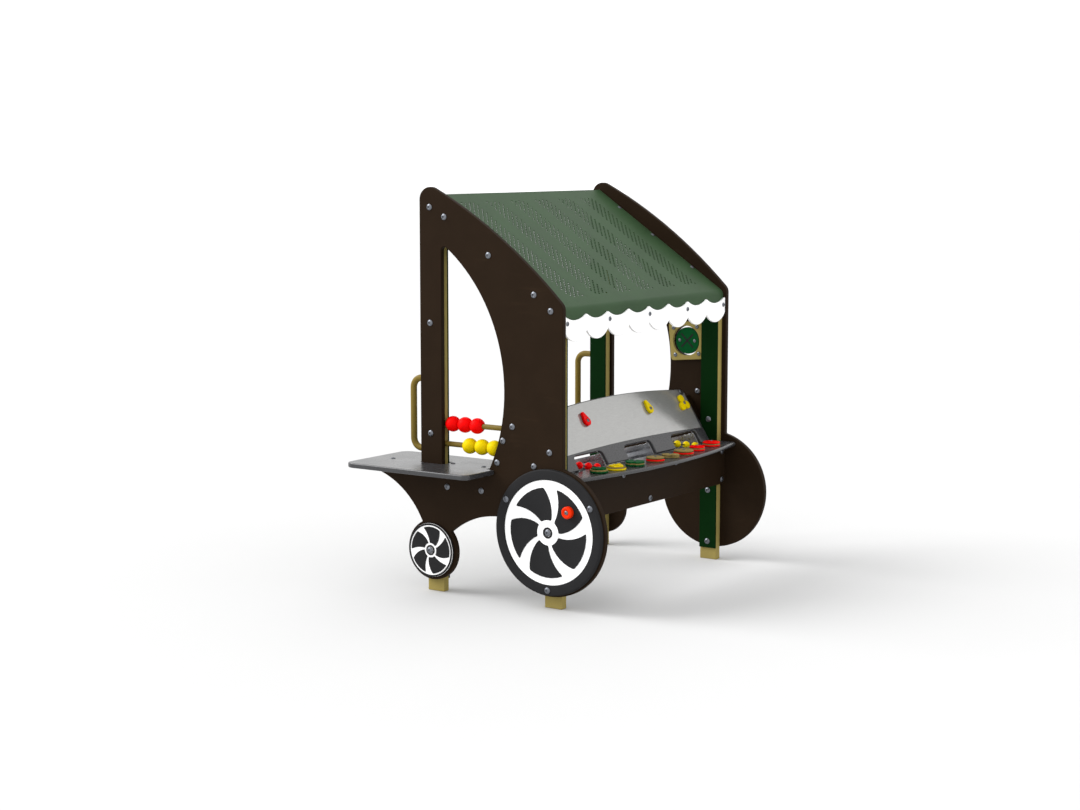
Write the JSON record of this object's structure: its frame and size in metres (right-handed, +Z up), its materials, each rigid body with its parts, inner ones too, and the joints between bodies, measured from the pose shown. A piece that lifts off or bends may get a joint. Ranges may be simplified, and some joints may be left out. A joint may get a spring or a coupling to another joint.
{
  "type": "market stall play cart",
  "caption": "Playground market-stall cart with sloping roof, bowed counter of turning play food, tilted display board, abacus, side table and wheel-shaped side panels.",
  "frame": {"origin": "middle of the whole cart's bounding box, on the floor", "axes": "+Z up; -Y is the serving front with the counter; +X runs across the cart, so the side table and the abacus are on the -X side"},
  "size_m": [1.478, 1.1149, 1.6],
  "materials": {
    "brown_panel": "satin",
    "tan_post": "satin",
    "tan_tube": "powder-coated satin",
    "dark_green": "satin",
    "roof_green": "powder-coated satin",
    "white_board": "matte",
    "white_disc": "satin",
    "grey_plank": "satin",
    "light_sheet": "satin",
    "stainless": "brushed",
    "black_disc": "satin",
    "red": "gloss",
    "yellow": "gloss",
    "food_green": "satin",
    "food_tan": "satin"
  },
  "bodies": {
    "frame": {"panel_near": "brown_panel", "panel_far": "brown_panel", "post_front_near": "tan_post", "post_front_far": "tan_post", "post_rear_near": "tan_post", "post_rear_far": "tan_post", "post_facings": "dark_green", "roof_sheet": "roof_green", "valance": "white_board", "apron": "brown_panel", "counter": "grey_plank", "display_board": "grey_plank", "display_sheet": "light_sheet", "board_cleats": "brown_panel", "trays": "stainless", "tray_wires": "stainless", "side_table": "grey_plank", "table_rail": "brown_panel", "abacus_block": "tan_post", "abacus_rods": "tan_tube", "handle_near": "tan_tube", "handle_far": "tan_tube", "tyre_near": "black_disc", "tyre_far": "black_disc", "axle_bolts": "stainless", "frame_bolts": "stainless", "pivot_bolts": "stainless", "food_pins": "stainless", "spinner_plate": "tan_post", "spinner_rod": "stainless"},
    "wheel_near": {"wheel_near": "white_disc", "blades_near": "black_disc", "knob_near": "red"},
    "wheel_far": {"wheel_far": "white_disc", "blades_far": "black_disc", "knob_far": "red"},
    "small_near": {"small_wheel_near": "black_disc"},
    "small_far": {"small_wheel_far": "black_disc"},
    "turner_red": {"turner_red": "red"},
    "turner_yellow": {"turner_yellow": "yellow"},
    "turner_trio": {"turner_trio": "yellow"},
    "spinner": {"spinner_disc": "food_green"},
    "bead_red_1": {"bead_red_1": "red"},
    "bead_red_2": {"bead_red_2": "red"},
    "bead_red_3": {"bead_red_3": "red"},
    "bead_yellow_1": {"bead_yellow_1": "yellow"},
    "bead_yellow_2": {"bead_yellow_2": "yellow"},
    "bead_yellow_3": {"bead_yellow_3": "yellow"},
    "food_lettuce": {"food_lettuce": "food_green"},
    "food_cheese": {"food_cheese": "yellow"},
    "food_pepper": {"food_pepper": "food_green"},
    "food_burger": {"food_burger": "food_tan"},
    "food_bean": {"food_bean": "food_tan"},
    "food_sandwich": {"food_sandwich": "food_tan"},
    "food_tomato": {"food_tomato": "red"},
    "food_apple": {"food_apple": "red"},
    "balls_red": {"balls_red": "red"},
    "balls_yellow": {"balls_yellow": "yellow"}
  },
  "joints": [
    {"name": "wheel_near_spin", "type": "hinge", "parent": "frame", "child": "wheel_near", "pos_m": [-0.555, -0.3075, 0.3], "axis": [1, 0, 0], "continuous": true},
    {"name": "wheel_far_spin", "type": "hinge", "parent": "frame", "child": "wheel_far", "pos_m": [0.695, -0.3075, 0.3], "axis": [1, 0, 0], "continuous": true},
    {"name": "small_near_spin", "type": "hinge", "parent": "frame", "child": "small_near", "pos_m": [-0.555, 0.2575, 0.17], "axis": [1, 0, 0], "continuous": true},
    {"name": "small_far_spin", "type": "hinge", "parent": "frame", "child": "small_far", "pos_m": [0.695, 0.2575, 0.17], "axis": [1, 0, 0], "continuous": true},
    {"name": "turner_red_turn", "type": "hinge", "parent": "frame", "child": "turner_red", "pos_m": [-0.18546, -0.22223, 0.676], "axis": [0, -0.8526, 0.5225], "continuous": true},
    {"name": "turner_yellow_turn", "type": "hinge", "parent": "frame", "child": "turner_yellow", "pos_m": [0.28466, -0.22223, 0.676], "axis": [0, -0.8526, 0.5225], "continuous": true},
    {"name": "turner_trio_turn", "type": "hinge", "parent": "frame", "child": "turner_trio", "pos_m": [0.55018, -0.22484, 0.67174], "axis": [0, -0.8526, 0.5225], "continuous": true},
    {"name": "spinner_flip", "type": "hinge", "parent": "frame", "child": "spinner", "pos_m": [0.678, -0.17767, 0.9312], "axis": [0, 1, 0], "continuous": true},
    {"name": "bead_red_1_slide", "type": "slide", "parent": "frame", "child": "bead_red_1", "axis": [0, -1, 0], "range_m": [0, 0.11]},
    {"name": "bead_red_2_slide", "type": "slide", "parent": "frame", "child": "bead_red_2", "axis": [0, -1, 0], "range_m": [0, 0.11]},
    {"name": "bead_red_3_slide", "type": "slide", "parent": "frame", "child": "bead_red_3", "axis": [0, -1, 0], "range_m": [0, 0.11]},
    {"name": "bead_yellow_1_slide", "type": "slide", "parent": "frame", "child": "bead_yellow_1", "axis": [0, 1, 0], "range_m": [0, 0.08]},
    {"name": "bead_yellow_2_slide", "type": "slide", "parent": "frame", "child": "bead_yellow_2", "axis": [0, 1, 0], "range_m": [0, 0.08]},
    {"name": "bead_yellow_3_slide", "type": "slide", "parent": "frame", "child": "bead_yellow_3", "axis": [0, 1, 0], "range_m": [0, 0.08]},
    {"name": "food_lettuce_turn", "type": "hinge", "parent": "frame", "child": "food_lettuce", "pos_m": [-0.3521, -0.39561, 0.512], "axis": [0, 0, 1], "continuous": true},
    {"name": "food_cheese_turn", "type": "hinge", "parent": "frame", "child": "food_cheese", "pos_m": [-0.2508, -0.40824, 0.512], "axis": [0, 0, 1], "continuous": true},
    {"name": "food_pepper_turn", "type": "hinge", "parent": "frame", "child": "food_pepper", "pos_m": [-0.12778, -0.41894, 0.512], "axis": [0, 0, 1], "continuous": true},
    {"name": "food_burger_turn", "type": "hinge", "parent": "frame", "child": "food_burger", "pos_m": [0.01272, -0.42495, 0.512], "axis": [0, 0, 1], "continuous": true},
    {"name": "food_bean_turn", "type": "hinge", "parent": "frame", "child": "food_bean", "pos_m": [0.1303, -0.42489, 0.512], "axis": [0, 0, 1], "continuous": true},
    {"name": "food_sandwich_turn", "type": "hinge", "parent": "frame", "child": "food_sandwich", "pos_m": [0.24125, -0.42058, 0.512], "axis": [0, 0, 1], "continuous": true},
    {"name": "food_tomato_turn", "type": "hinge", "parent": "frame", "child": "food_tomato", "pos_m": [0.36426, -0.41097, 0.512], "axis": [0, 0, 1], "continuous": true},
    {"name": "food_apple_turn", "type": "hinge", "parent": "frame", "child": "food_apple", "pos_m": [0.512, -0.39272, 0.512], "axis": [0, 0, 1], "continuous": true},
    {"name": "balls_red_slide", "type": "slide", "parent": "frame", "child": "balls_red", "axis": [0.9803, -0.1033, -0.1685], "range_m": [-0.012, 0.012]},
    {"name": "balls_yellow_slide", "type": "slide", "parent": "frame", "child": "balls_yellow", "axis": [0.9803, -0.1033, -0.1685], "range_m": [-0.02, 0.002]}
  ],
  "couplings": [
    {"joint": "bead_red_2_slide", "follows": "bead_red_1_slide", "ratio": 1},
    {"joint": "bead_red_3_slide", "follows": "bead_red_1_slide", "ratio": 1},
    {"joint": "bead_yellow_2_slide", "follows": "bead_yellow_1_slide", "ratio": 1},
    {"joint": "bead_yellow_3_slide", "follows": "bead_yellow_1_slide", "ratio": 1}
  ]
}
